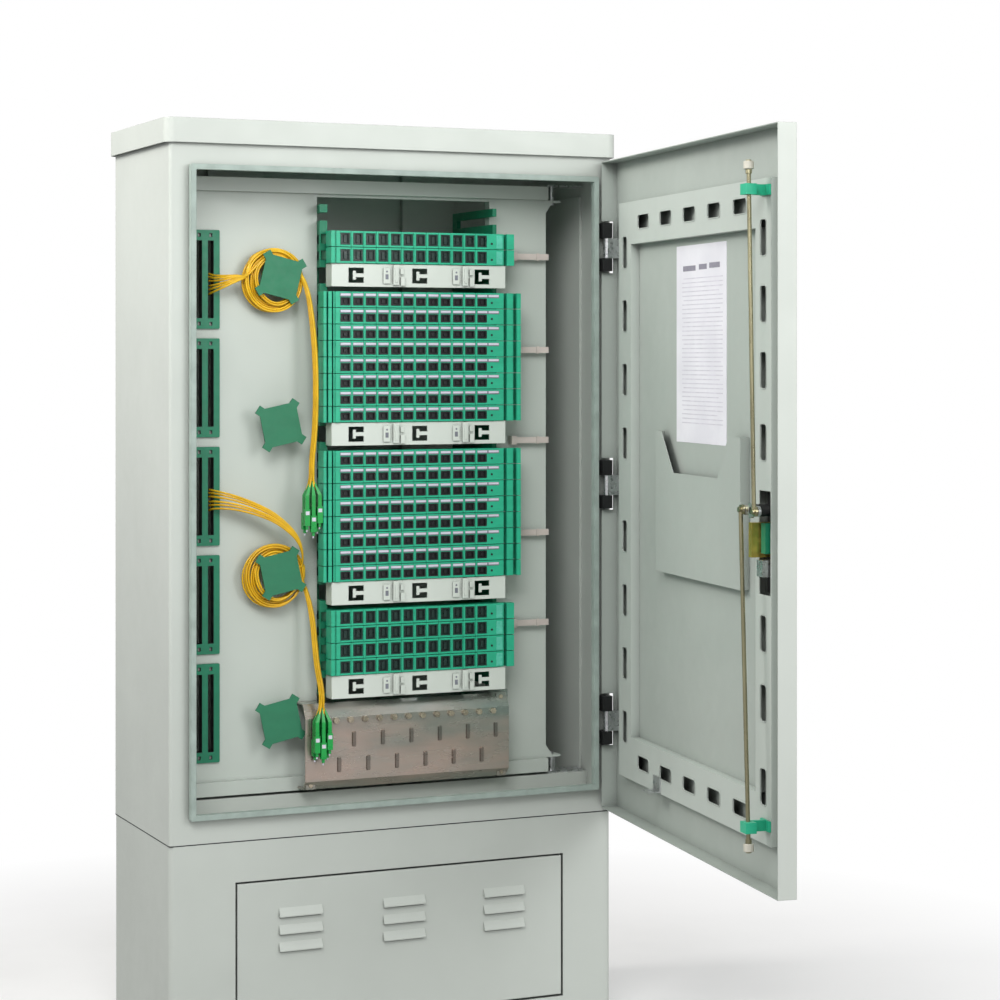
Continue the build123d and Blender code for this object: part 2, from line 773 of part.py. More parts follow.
# Tray racks: two upright combs at the sides of the bay, a ledge under every tray, a fork at
# the top that guides fibres, and a ladder of windows down the left one's front edge
rack_low = floor + 206
rack_high = floor + 987
fork_low = floor + 961
fork_high = floor + 974
fork_root = 18
ladder_reach = 6
ladder_thick = 4
window_width = 8.5
window_height = 15
window_depth = 40
ledge_low = 1.5
ledge_high = 4
ledge_short = 20
rack_y = front + rack_front
with BuildPart() as tray_racks:
    for x0, step in ((bay_left, 1), (bay_right, -1)):
        low, high = sorted((x0, x0 + step * rack_thick))
        block((low, rack_y, rack_low), (high, front + cassette_back, rack_high))
        block(
            (low, rack_y, fork_low),
            (high, front + cassette_back - fork_root, fork_high),
            mode=Mode.SUBTRACT,
        )
    for z in (rack_low, fork_high):
        top = fork_low if z == rack_low else rack_high
        block((bay_left - ladder_reach, rack_y, z), (bay_left, rack_y + ladder_thick, top))
    for z in tray_zs:
        block(
            (bay_left - ladder_reach + 2, rack_y, z + (tray_pitch - window_height) / 2),
            (bay_left - ladder_reach + 2 + window_width, rack_y + window_depth, z + (tray_pitch + window_height) / 2),
            mode=Mode.SUBTRACT,
        )
    for z in strip_zs:
        block(
            (bay_left - ladder_reach, rack_y, z + strip_seat),
            (bay_left + rack_thick, rack_y + window_depth, z + strip_tall - strip_seat),
            mode=Mode.SUBTRACT,
        )
    for x0, step in ((bay_left, 1), (bay_right, -1)):
        low, high = sorted((x0 + step * rack_thick, x0 + step * (rack_thick + ledge)))
        for z in tray_zs:
            block((low, rack_y, z + ledge_low), (high, front + cassette_back - ledge_short, z + ledge_high))
export(tray_racks, "tray_racks")

# Trays: each a cassette on its ledges behind a moulded front with twelve ports. The fronts
# of full groups are wider and have lower ports than those of the short groups
cassette_left = bay_left + rack_thick + rack_clear
cassette_right = bay_right - rack_thick - rack_clear
cassette_floor = 4.4
cassette_short = 4
tray_high = tray_pitch - tray_gap
ports_mid = port_first + port_pitch * (ports - 1) / 2
face_y = front + tray_face
flange_y = face_y + flange_step


def tray_body(wide):
    """A tray with its underside at height zero: front, flanges, bands, ribs, ports, cassette."""
    with BuildPart() as made:
        block((field_left, face_y, 0), (field_right, face_y + bezel_depth, tray_high))
        block((field_left - flange_left[wide], flange_y, 0), (field_left, flange_y + flange_depths[0], tray_high))
        block((field_right, flange_y, 0), (field_right + flange_right[wide], flange_y + flange_depths[1], tray_high))
        for edge, bands in ((field_left, bands_left[wide]), (field_right, bands_right[wide])):
            for low, high in bands:
                block((edge + low, face_y - band_proud, 0), (edge + high, flange_y, tray_high))
        with BuildSketch(facing(tray_face)):
            with Locations((ports_mid, tray_high / 2)):
                with GridLocations(port_pitch, 1, ports - 1, 1):
                    Rectangle(port_rib[0], tray_high)
        extrude(amount=port_rib[1])
        with BuildSketch(facing(tray_face)):
            with Locations((ports_mid, port_low + port_size[wide][1] / 2)):
                with GridLocations(port_pitch, 1, ports, 1):
                    Rectangle(*port_size[wide])
        extrude(amount=-port_depth, mode=Mode.SUBTRACT)
        block(
            (cassette_left, face_y + bezel_depth, cassette_floor),
            (cassette_right, front + cassette_back - cassette_short, cassette_floor + cassette_height),
        )
    return made.part


tray_bodies = {wide: tray_body(wide) for wide in (True, False)}
for n, (z, wide) in enumerate(zip(tray_zs, tray_wide)):
    with BuildPart() as tray:
        add(tray_bodies[wide].moved(Location((0, 0, z))))
    export(tray, f"tray_{n + 1:02d}")

# Label strips: punched sheets under each group, their legs on the racks' front edges
strip_left = left + 277
strip_right = left + 578
strip_sheet = 1.5
strip_leg = bay_right - 5
strip_depth_in = 2
strip_edge = 1
tongue_pitch = 109
tongue_hole = (26, 24)
tongue_bar = (18, 6)
tongue_head = (5, 14)
with BuildPart() as label_strips:
    for z in strip_zs:
        with BuildSketch(facing(tray_face + strip_depth_in)):
            mid, size = between(strip_left, strip_right, z + strip_edge, z + strip_tall - strip_edge)
            with Locations(mid):
                Rectangle(*size)
                with GridLocations(tongue_pitch, 1, 3, 1):
                    Rectangle(*tongue_hole, mode=Mode.SUBTRACT)
                    with Locations(((tongue_hole[0] - tongue_bar[0]) / 2, 0)):
                        Rectangle(*tongue_bar)
                    with Locations((-3, 0)):
                        Rectangle(*tongue_head)
        extrude(amount=-strip_sheet)
        for x in (strip_left, strip_leg):
            block(
                (x, face_y + strip_depth_in, z + strip_edge),
                (x + strip_sheet, rack_y, z + strip_tall - strip_edge),
            )
export(label_strips, "label_strips")

# Retaining straps beside the trays, each in a socket on the panel
strap_left = left + 608
strap_right = left + 676
socket_size = (9, 14)
socket_stand = 15
band_height = 10
band_thick = 1.2
band_stand = 13
slider = (4, 12)
slider_from_end = 22
with BuildPart() as retaining_straps:
    back_y = front + panel_depth
    band_y = back_y - band_stand
    for z in strap_heights:
        half = socket_size[1] / 2
        block((strap_left, back_y - socket_stand, z - half), (strap_left + socket_size[0], back_y, z + half))
        half = band_height / 2
        block((strap_left + socket_size[0], band_y, z - half), (strap_right, band_y + band_thick, z + half))
        x = strap_right - slider_from_end
        half = slider[1] / 2
        block((x, band_y - band_thick, z - half), (x + slider[0], band_y + band_thick, z + half))
export(retaining_straps, "retaining_straps")

# Clamp plate: folded sheet below the trays with two rows of raised lances, a row of
# screws under its upper fold and screwed tabs at three corners
clamp_mid = (clamp_left + clamp_right) / 2
clamp_chin = 14
clamp_slope = (12, 22)
lance_size = (7, 24)
lance_proud = 2.5
lance_pitch = 49.3
lance_rows = ((clamp_high - 58, 29), (clamp_high - 97, 4))
tab_size = (18, 16)
tab_screw = 3.5
screw_radius = 5
screw_proud = 5
screw_drop = 27
screw_pitch = 24.7
screw_shift = 11
clamp_y = front + clamp_depth
tab_right = clamp_right + tab_size[0] / 2
tab_low = clamp_low + 26
tab_places = ((tab_right, clamp_high - tab_size[1] / 2), (tab_right, tab_low + tab_size[1] / 2))
with BuildPart() as clamp_plate:
    c = clamp_sheet
    with BuildSketch(Plane.YZ.offset(clamp_left)):
        with BuildLine():
            y1 = front + panel_depth
            y2 = front + strip_depth
            Polyline(
                (y1, clamp_high),
                (clamp_y + clamp_slope[0], clamp_high),
                (clamp_y, clamp_high - clamp_slope[1]),
                (clamp_y, clamp_low + clamp_chin),
                (clamp_y + clamp_chin, clamp_low),
                (y2, clamp_low),
                (y2, clamp_low + c),
                (clamp_y + clamp_chin + c / 2, clamp_low + c),
                (clamp_y + c, clamp_low + clamp_chin + c / 2),
                (clamp_y + c, clamp_high - clamp_slope[1] - c / 2),
                (clamp_y + clamp_slope[0] + c / 2, clamp_high - c),
                (y1, clamp_high - c),
                close=True,
            )
        make_face()
    extrude(amount=clamp_right - clamp_left)
    with BuildSketch(facing(clamp_depth)):
        for row_z, shift in lance_rows:
            with Locations((clamp_mid + shift, row_z)):
                with GridLocations(lance_pitch, 1, 6, 1):
                    RectangleRounded(*lance_size, 2)
    extrude(amount=lance_proud, taper=20)
    with BuildSketch(facing(panel_depth)):
        with Locations(*tab_places):
            Rectangle(*tab_size)
    extrude(amount=c)
    block((clamp_right - c, clamp_y + clamp_slope[0], tab_low), (clamp_right, y1, clamp_high - c))
    with BuildSketch(facing(panel_depth - c)):
        with Locations(*tab_places):
            Circle(tab_screw)
    extrude(amount=c)
export(clamp_plate, "clamp_plate")

with BuildPart() as clamp_screws:
    with BuildSketch(facing(clamp_depth)):
        with Locations((clamp_mid + screw_shift, clamp_high - screw_drop)):
            with GridLocations(screw_pitch, 1, clamp_screws_count, 1):
                RegularPolygon(screw_radius, 6)
    extrude(amount=screw_proud)
export(clamp_screws, "clamp_screws")


def radii(points):
    """The largest arc for each corner of a route that its two runs allow."""
    found = []
    for a, b, c in zip(points, points[1:], points[2:]):
        one = Vector(b) - Vector(a)
        two = Vector(c) - Vector(b)
        half_turn = radians(one.get_angle(two)) / 2
        found.append(0.45 * min(one.length, two.length) / tan(half_turn))
    return found


def bundle(points, label):
    """A fibre bundle along a route of straight runs and tangent arcs."""
    corner_radii = radii(points)
    print(label, "radii", [round(r) for r in corner_radii])
    with BuildPart() as tube:
        with BuildLine() as route:
            FilletPolyline(*points, radius=corner_radii)
        start = Vector(points[1]) - Vector(points[0])
        with BuildSketch(Plane(origin=points[0], z_dir=start)):
            Circle(bundle_radius)
        sweep()
    length = sum(edge.length for edge in route.edges())
    print(label, "length", round(length), "volume", round(tube.part.volume / (pi * bundle_radius**2 * length), 4))
    export(tube, label)


# Fibre bundles: from an entry slot to a coil that hangs on a spool's hub, then down to
# loose connectors
coil_outer = 52
coil_inner = 30
coil_depth = (64, 86)
coil_seat = 0.3
coil_lean = radians(215)
hang = coil_inner - hub_radius - coil_seat
coil_x = spool_x + hang * cos(coil_lean)
drop = hang * sin(coil_lean)
upper_z = spool_z + drop
lower_z = spool_z - 2 * spool_pitch + drop
for label, z in (("upper_coil", upper_z), ("lower_coil", lower_z)):
    with BuildPart() as coil:
        with BuildSketch(facing(coil_depth[1])):
            with Locations((coil_x, z)):
                Circle(coil_outer)
                Circle(coil_inner, mode=Mode.SUBTRACT)
        extrude(amount=coil_depth[1] - coil_depth[0])
    export(coil, label)

upper_tail_route = [(94, 99, 859), (95, 88, 859), (99.5, 77.5, 860), (107.5, 69.5, 862), (118.5, 64.5, 865)]
upper_tail_route += [(131, 63.5, 868), (146, 68, 870)]
upper_run_route = [(226, 70, 884), (240, 67, 868), (247, 61, 840), (250, 54, 802), (252, 48, 760)]
upper_run_route += [(253, 45, 712), (252, 43, 660), (249, 42, 615), (245, 42, 579), (245, 42, 549)]
lower_tail_route = [(94, 99, 520), (95, 88, 521), (99.5, 77.5, 521), (107.5, 69.5, 520), (120, 64, 518)]
lower_tail_route += [(138, 59, 513), (160, 55, 505), (184, 52, 494), (206, 51, 478), (225, 52, 459)]
lower_tail_route += [(236, 58, 435), (238, 70, 412)]
lower_run_route = [(236, 72, 394), (244, 68, 376), (249, 62, 352), (252, 55, 322), (253, 49, 286)]
lower_run_route += [(255, 43, 250), (260, 37, 219), (260, 37, 192)]


def placed(route):
    """A route given from the body's left, front and bottom, in the part's own frame."""
    return [(left + x, front + y, floor + z) for x, y, z in route]


bundle(placed(upper_tail_route), "upper_tail")
bundle(placed(upper_run_route), "upper_run")
bundle(placed(lower_tail_route), "lower_tail")
bundle(placed(lower_run_route), "lower_run")

# Loose connectors at the end of each bundle: six fibres that fan out into boots and bodies
fan = 22
boots = (18, 6)
body_size = (9, 8, 26)
tip = (4, 6)
columns = (-1, 0, 1)
drops = {(-1, 0): 4, (0, 0): 14, (1, 0): 0, (-1, 1): 10, (0, 1): 2, (1, 1): 8}
for label, route in (("upper_connectors", upper_run_route), ("lower_connectors", lower_run_route)):
    x0, y0, z0 = placed(route)[-1]
    with BuildPart() as connectors:
        for (column, row), lower in drops.items():
            near = (x0 + column * 2.5, y0 + (row - 0.5) * 2.5)
            far = (x0 + column * 10.5, y0 + (row - 0.5) * 9.5)
            with BuildSketch(Plane.XY.offset(z0)):
                with Locations(near):
                    Rectangle(2.2, 2.2)
            with BuildSketch(Plane.XY.offset(z0 - fan)):
                with Locations(far):
                    Rectangle(boots[1], boots[1])
            loft()
            z = z0 - fan
            for size, tall in (
                ((boots[1], boots[1]), boots[0] + lower),
                (body_size[:2], body_size[2]),
                ((tip[0], tip[0]), tip[1]),
            ):
                with BuildSketch(Plane.XY.offset(z)):
                    with Locations(far):
                        Rectangle(*size)
                extrude(amount=-tall)
                z -= tall
    export(connectors, label)
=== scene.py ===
"""Studio picture of the roadside fibre cabinet: camera, light, fibres, finishes and fittings.

Metres, with the frame's CAD nodes at rest. The fittings ride on its bodies. Their places are
in millimetres: on the cabinet X from the body's left side, Y back from its front and Z up from
its floor, and on the door S and W from the hinge line, W outwards, and the same Z.
"""

from math import cos, dist, pi, radians, sin

import bmesh
import bpy
from mathutils import Matrix, Vector


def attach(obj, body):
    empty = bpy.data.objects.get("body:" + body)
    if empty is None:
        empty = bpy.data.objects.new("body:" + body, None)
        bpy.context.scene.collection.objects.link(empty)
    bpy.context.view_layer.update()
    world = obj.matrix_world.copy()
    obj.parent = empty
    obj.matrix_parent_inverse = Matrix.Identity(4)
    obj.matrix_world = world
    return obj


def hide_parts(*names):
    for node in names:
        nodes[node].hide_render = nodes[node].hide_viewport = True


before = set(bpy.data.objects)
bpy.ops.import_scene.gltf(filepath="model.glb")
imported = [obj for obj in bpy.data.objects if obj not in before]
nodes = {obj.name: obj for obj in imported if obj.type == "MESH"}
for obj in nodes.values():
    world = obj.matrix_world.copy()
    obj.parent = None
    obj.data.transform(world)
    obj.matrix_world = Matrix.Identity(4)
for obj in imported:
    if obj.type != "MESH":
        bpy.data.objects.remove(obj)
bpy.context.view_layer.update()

MM = 0.001
BODY_LEFT = -375
BODY_FRONT = -153.5
BODY_FLOOR = 337


def at(x, y, z):
    """A point given in the cabinet's millimetres, in metres in the frame."""
    return Vector((BODY_LEFT + x, BODY_FRONT + y, BODY_FLOOR + z)) * MM


def add_object(name, data):
    """An object for some data, linked into the scene."""
    made = bpy.data.objects.new(name, data)
    bpy.context.scene.collection.objects.link(made)
    return made


# Camera
CAMERA_PLACE = (-1.472, -3.8075, 1.081)
CAMERA_TURN = (90, 0, -24.27)
LENS = 89.68
SENSOR = 36
SHIFT_Y = -0.1428


def add_camera():
    """The photographer's camera: level, a little left of the cabinet, its lens shifted down."""
    data = bpy.data.cameras.new("camera")
    data.lens = LENS
    data.sensor_width = SENSOR
    data.shift_y = SHIFT_Y
    camera = add_object("camera", data)
    camera.location = CAMERA_PLACE
    camera.rotation_euler = [radians(a) for a in CAMERA_TURN]
    bpy.context.scene.camera = camera


add_camera()


# Materials. The scale of a noise is per metre of the object's own coordinates
# Samples of the occlusion that paints shade into holes and folds, and of the softened edges
PAINTED_SHADE_SAMPLES = 3
BEVEL_SAMPLES = 3
# The Mix node's colour sockets by number, because its other sockets have the same names
MIX_A, MIX_B, MIX_RESULT = 6, 7, 2


class Shader:
    """A Principled material whose colour, roughness and bump come from noise nodes."""

    def __init__(self, name):
        self.material = bpy.data.materials.new(name)
        self.material.use_nodes = True
        self.tree = self.material.node_tree
        self.principled = self.tree.nodes["Principled BSDF"]
        self.place = self.tree.nodes.new("ShaderNodeTexCoord").outputs["Object"]

    def node(self, kind, **values):
        """A node with some of its inputs set."""
        made = self.tree.nodes.new(kind)
        for key, value in values.items():
            made.inputs[key].default_value = value
        return made

    def link(self, source, target):
        self.tree.links.new(source, target)

    def noise(self, scale, detail=4, rough=0.55, stretch=(1, 1, 1)):
        """Noise over the object's own coordinates, optionally stretched along an axis."""
        mapping = self.node("ShaderNodeMapping", Scale=stretch)
        self.link(self.place, mapping.inputs["Vector"])
        noise = self.node("ShaderNodeTexNoise", Scale=scale, Detail=detail, Roughness=rough)
        self.link(mapping.outputs["Vector"], noise.inputs["Vector"])
        return noise.outputs["Fac"]

    def spread(self, source, low, high, start=0.35, end=0.65):
        """A value that goes from low to high as the source goes from start to end."""
        made = self.node("ShaderNodeMapRange")
        self.link(source, made.inputs["Value"])
        ends = {"From Min": start, "From Max": end, "To Min": low, "To Max": high}
        for key, value in ends.items():
            made.inputs[key].default_value = value
        return made.outputs["Result"]

    def mixed(self, factor, one, two):
        """Two colours mixed by a factor; each is a colour or another node's output."""
        made = self.tree.nodes.new("ShaderNodeMix")
        made.data_type = "RGBA"
        self.link(factor, made.inputs["Factor"])
        for socket, colour in ((made.inputs[MIX_A], one), (made.inputs[MIX_B], two)):
            if isinstance(colour, bpy.types.NodeSocket):
                self.link(colour, socket)
            else:
                socket.default_value = (*colour, 1)
        return made.outputs[MIX_RESULT]

    def painted_nook_shade(self, source, colour, reach=0.03):
        """The source with painted shade: darkened deep in holes, slots and folds within a reach
        in metres.
        """
        occlusion = self.node("ShaderNodeAmbientOcclusion", Distance=reach)
        occlusion.samples = PAINTED_SHADE_SAMPLES
        shade = self.spread(occlusion.outputs["AO"], 1, 0, 0.12, 0.55)
        return self.mixed(shade, source, shaded(colour, 0.22))

    def colour(self, source):
        self.link(source, self.principled.inputs["Base Color"])

    def roughness(self, source):
        self.link(source, self.principled.inputs["Roughness"])

    def set(self, **values):
        """Fixed values for the Principled node's inputs."""
        for key, value in values.items():
            self.principled.inputs[key].default_value = value

    def bump(self, source, depth, edge=0):
        """Bump of a depth in metres, over edges softened by a radius in metres."""
        bump = self.node("ShaderNodeBump", Distance=depth, Strength=1)
        self.link(source, bump.inputs["Height"])
        if edge:
            bevel = self.node("ShaderNodeBevel", Radius=edge)
            bevel.samples = BEVEL_SAMPLES
            self.link(bevel.outputs["Normal"], bump.inputs["Normal"])
        self.link(bump.outputs["Normal"], self.principled.inputs["Normal"])


def tone(red, green, blue):
    """A colour from 0 to 255 in sRGB as the linear values that shaders take."""
    values = [c / 255 for c in (red, green, blue)]
    return tuple(c / 12.92 if c <= 0.04045 else ((c + 0.055) / 1.055) ** 2.4 for c in values)


def shaded(colour, factor):
    """A colour made darker or lighter by a factor."""
    return tuple(c * factor for c in colour)


def paint(name, colour, edge=0.0012):
    """Powder coat: fine orange peel, faint clouds in its tone, darker specks and painted shade
    in holes and folds.
    """
    s = Shader(name)
    clouds = s.mixed(s.spread(s.noise(3.5), 0, 1), shaded(colour, 0.955), shaded(colour, 1.02))
    specks = s.spread(s.noise(900, 2), 0, 0.12, 0.6, 0.75)
    s.colour(s.painted_nook_shade(s.mixed(specks, clouds, shaded(colour, 0.8)), colour))
    s.roughness(s.spread(s.noise(24), 0.36, 0.5))
    s.bump(s.noise(520, 3), 0.00006, edge)
    return s.material


def plastic(name, colour, rough=0.38, edge=0.0004, streak=0.9):
    """Moulded plastic with flow marks along the moulding, a fine grain and painted shade in
    holes and folds.
    """
    s = Shader(name)
    flow = s.spread(s.noise(60, 3, stretch=(0.4, 1, 1)), 0, 1)
    s.colour(s.painted_nook_shade(s.mixed(flow, shaded(colour, streak), shaded(colour, 1.04)), colour, 0.02))
    s.roughness(s.spread(s.noise(110), rough - 0.06, rough + 0.08))
    s.bump(s.noise(1400, 2), 0.00002, edge)
    return s.material


def metal(name, colour, rough=0.32, stretch=(1, 1, 1), edge=0.0004, dark=0.75):
    """Plated or bare metal with a cloudy tone and brushed roughness."""
    s = Shader(name)
    s.set(Metallic=1.0)
    cloud = s.spread(s.noise(45, 5, stretch=stretch), 0, 1)
    s.colour(s.mixed(cloud, shaded(colour, dark), colour))
    s.roughness(s.spread(s.noise(160, 4, stretch=stretch), rough - 0.08, rough + 0.12))
    s.bump(s.noise(600, 3, stretch=stretch), 0.00003, edge)
    return s.material


# Tones of the galvanised sheet: the streaks stand partly for its own tone and partly for
# painted reflection, spangles, and the last tone is painted shade in its holes and folds
COOL_ZINC = tone(150, 164, 157)
WARM_ZINC = tone(204, 184, 172)
SPANGLE_ZINC = tone(190, 192, 190)
PAINTED_SHADE_ZINC = tone(120, 120, 116)


def galvanised(name, shade_factor=1.0):
    """Rolled zinc-coated sheet: warm and cool streaks along its length, partly its own tone and
    partly painted reflection, faint spangles and painted shade in holes and folds.
    """
    s = Shader(name)
    s.set(Metallic=0.85)
    cells = s.node("ShaderNodeTexVoronoi", Scale=110)
    s.link(s.place, cells.inputs["Vector"])
    spangle = s.spread(cells.outputs["Color"], 0, 0.14, 0.1, 0.9)
    tone_and_reflection_streaks = s.spread(s.noise(5, stretch=(0.5, 1, 1.6)), 0, 1, 0.4, 0.58)
    # The factor darkens every tone of the sheet; below one it stands for painted shade
    sheet = s.mixed(tone_and_reflection_streaks, shaded(COOL_ZINC, shade_factor), shaded(WARM_ZINC, shade_factor))
    sheet = s.mixed(spangle, sheet, shaded(SPANGLE_ZINC, shade_factor))
    s.colour(s.painted_nook_shade(sheet, PAINTED_SHADE_ZINC, 0.02))
    s.roughness(s.spread(s.noise(40, stretch=(0.2, 1, 1)), 0.2, 0.34))
    s.bump(s.noise(30, 3, stretch=(0.15, 1, 1)), 0.0003, 0.0006)
    return s.material


def seal_rubber(name, colour):
    """Matt foam rubber, faintly patchy."""
    s = Shader(name)
    s.colour(s.mixed(s.spread(s.noise(40), 0, 1), shaded(colour, 0.85), shaded(colour, 1.05)))
    s.set(Roughness=0.7)
    s.bump(s.noise(700), 0.00005, 0.0015)
    return s.material


def sheathing(name, colour):
    """Fibre jacket: each one's tone differs a little, and dirt gathers in patches."""
    s = Shader(name)
    random = s.tree.nodes.new("ShaderNodeObjectInfo").outputs["Random"]
    own = s.mixed(random, shaded(colour, 0.86), (colour[0], colour[1] * 1.08, colour[2] * 1.3))
    s.colour(s.mixed(s.spread(s.noise(55), 0, 0.35), own, shaded(colour, 0.55)))
    s.set(Roughness=0.34)
    s.bump(s.noise(1600), 0.00002)
    return s.material


def white_paper(name):
    """Glossy white paper, faintly uneven."""
    s = Shader(name)
    s.colour(s.mixed(s.spread(s.noise(14), 0, 1), tone(222, 221, 229), tone(232, 231, 238)))
    s.set(Roughness=0.4)
    s.bump(s.noise(20), 0.0002)
    return s.material


looks = {
    # Copies of the body's paint in other tones: the swing frame's is lighter as painted light,
    # the door's inside and its frame are darker as painted shade
    "paint": paint("paint", tone(193, 199, 193)),
    "inside_paint_lightened": paint("inside_paint_lightened", tone(197, 205, 198), 0.0008),
    "door_inside": paint("door_inside", tone(170, 178, 172)),
    "frame_paint_shaded": paint("frame_paint_shaded", tone(187, 195, 189)),
    "edge_seal": seal_rubber("edge_seal", tone(160, 175, 168)),
    "black_metal": plastic("black_metal", tone(26, 27, 28), 0.5, 0),
    "zinc": metal("zinc", tone(222, 224, 226), 0.3),
    "yellow_zinc": metal("yellow_zinc", tone(180, 174, 142), 0.3, (1, 1, 0.1)),
    "galvanised": galvanised("galvanised"),
    # The clamp's lances: the same sheet at half its tone, as painted shade
    "galvanised_painted_shade": galvanised("galvanised_painted_shade", 0.5),
    "cream_plastic": plastic("cream_plastic", tone(204, 201, 188)),
    "tray_green": plastic("tray_green", tone(42, 182, 142)),
    "spool_green": plastic("spool_green", tone(40, 122, 88), 0.5, streak=0.95),
    "plate_green": plastic("plate_green", tone(12, 126, 92), 0.42),
    "label_grey": paint("label_grey", tone(214, 222, 214), 0.0004),
    "strap": plastic("strap", tone(210, 200, 193), 0.45),
    "paper": white_paper("paper"),
    "fibre": sheathing("fibre", tone(244, 190, 26)),
    "connector": plastic("connector", tone(22, 162, 72), 0.3),
    "black_plastic": plastic("black_plastic", tone(27, 29, 32), 0.4),
    "port_green": plastic("port_green", tone(26, 52, 47), 0.3),
    "shutter_grey": plastic("shutter_grey", tone(128, 132, 142), 0.4, streak=0.85),
    "card_green": plastic("card_green", tone(88, 200, 172), 0.3),
    "white_plastic": plastic("white_plastic", tone(216, 214, 228), 0.35, streak=0.96),
    "brass": metal("brass", tone(240, 214, 112), 0.42),
    "screw": metal("screw", tone(226, 212, 190), 0.22, dark=0.5),
    "print_pale": plastic("print_pale", tone(208, 205, 216), 0.6, 0),
    "print_dark": plastic("print_dark", tone(140, 137, 150), 0.6, 0),
}
node_looks = {
    "plinth_shell": "paint",
    "plinth_cover": "paint",
    "body_shell": "paint",
    "roof_cap": "paint",
    "door_seal": "edge_seal",
    "hinge_brackets": "black_metal",
    "hinge_pins": "zinc",
    "pivot_brackets": "zinc",
    "door_pan": "door_inside",
    "door_frame": "frame_paint_shaded",
    "document_pocket": "door_inside",
    "instruction_sheet": "paper",
    "hinge_leaves": "zinc",
    "rod_guides": "tray_green",
    "lock_case": "black_metal",
    "stay_bracket": "zinc",
    "door_handle": "black_metal",
    "lock_cam": "zinc",
    "upper_rod": "yellow_zinc",
    "lower_rod": "yellow_zinc",
    "upper_roller": "cream_plastic",
    "lower_roller": "cream_plastic",
    "swing_frame": "inside_paint_lightened",
    "entry_plates": "plate_green",
    "fibre_spools": "spool_green",
    "tray_racks": "plate_green",
    "label_strips": "label_grey",
    "retaining_straps": "strap",
    "clamp_plate": "galvanised",
    "clamp_screws": "screw",
}


def dress_nodes():
    """Every CAD node's finish; trays, connectors and fibres each share one."""
    for name, node in nodes.items():
        look = node_looks.get(name, "tray_green" if name.startswith("tray_") else None)
        if look is None:
            look = "connector" if name.endswith("connectors") else "fibre"
        node.data.materials.clear()
        node.data.materials.append(looks[look])


dress_nodes()

# Fibres: each bundle is six jackets that follow one route from its entry slot to the coil
# and from the coil to the connectors
UPPER_TAIL = [(94, 99, 859), (95, 88, 859), (99.5, 77.5, 860), (107.5, 69.5, 862)]
UPPER_TAIL += [(118.5, 64.5, 865), (131, 63.5, 868), (146, 68, 870)]
UPPER_RUN = [(226, 70, 884), (240, 67, 868), (247, 61, 840), (250, 54, 802), (252, 48, 760)]
UPPER_RUN += [(253, 45, 712), (252, 43, 660), (249, 42, 615), (245, 42, 579), (245, 42, 549)]
LOWER_TAIL = [(94, 99, 520), (95, 88, 521), (99.5, 77.5, 521), (107.5, 69.5, 520)]
LOWER_TAIL += [(120, 64, 518), (138, 59, 513), (160, 55, 505), (184, 52, 494), (206, 51, 478)]
LOWER_TAIL += [(225, 52, 459), (236, 58, 435), (238, 70, 412)]
LOWER_RUN = [(236, 72, 394), (244, 68, 376), (249, 62, 352), (252, 55, 322), (253, 49, 286)]
LOWER_RUN += [(255, 43, 250), (260, 37, 219), (260, 37, 192)]
JACKETS = 6
JACKET_DIAMETER = 0.0032
SLOT_FAN = (16, 11, 5, -3, -9, -16)
SLOT_FAN_POWER = 0.8
# The coils: middle, depths of the first and last jacket, and degrees at which the tail joins
# and the run leaves, seen from the front
COIL_X = 192.05
COIL_DEPTHS = (67, 83)
COIL_TURNS = 2
COIL_STEPS = 24
COIL_START = (33, 42, 36, 44, 34.5, 39)
COIL_GROWTH = 8
UPPER_COIL = {"middle_z": 864.4, "joins": 140, "leaves": 32}
LOWER_COIL = {"middle_z": 398.4, "joins": 20, "leaves": -8}
# A jacket swells outwards where it joins, is drawn in on the left and waves a little, each
# with its own phase
JOIN_SWELL = 9
JOIN_SHARE = 1 / 6
SIDE_SLACK = (7, 0, 4, 0, 8, 2)
WAVE = 1.2
WAVE_PHASE = 1.3
RIPPLE = 0.8
# The runs: each jacket's place in the bundle, then its place over the connectors
CLUSTER = [(-1.9, -1.6), (1.9, -1.6), (0, 1.7), (-3.3, 1.5), (3.3, 1.5), (0, -4.4)]
CLUSTER_POINTS = 3
GRID = [(-1, -0.5), (0, -0.5), (1, -0.5), (-1, 0.5), (0, 0.5), (1, 0.5)]
GRID_PITCH = (10.5, 9.5)
FAN = 22
BOOT_ABOVE = 2
BOOT_LAP = 3


def coil_points(k, middle_z, joins, leaves):
    """A jacket's turns round the spool, clockwise from the front, widening as they go."""
    sweep = joins - leaves + 360 * COIL_TURNS
    count = round(sweep / 360 * COIL_STEPS)
    depth = COIL_DEPTHS[0] + (COIL_DEPTHS[1] - COIL_DEPTHS[0]) * k / (JACKETS - 1)
    points = []
    for n in range(count + 1):
        share = n / count
        angle = radians(joins - sweep * share)
        joining = max(0, 1 - share / JOIN_SHARE)
        radius = COIL_START[k] + COIL_GROWTH * share + JOIN_SWELL * joining
        radius -= SIDE_SLACK[k] * max(0, -cos(angle)) + WAVE * sin(2 * angle + WAVE_PHASE * k)
        y = depth + RIPPLE * sin(3 * angle + k)
        points.append((COIL_X + radius * cos(angle), y, middle_z + radius * sin(angle)))
    return points


def over_connector(k, run):
    """Where a jacket meets its connector, in X and Y."""
    column, row = GRID[k]
    return run[-1][0] + column * GRID_PITCH[0], run[-1][1] + row * GRID_PITCH[1]


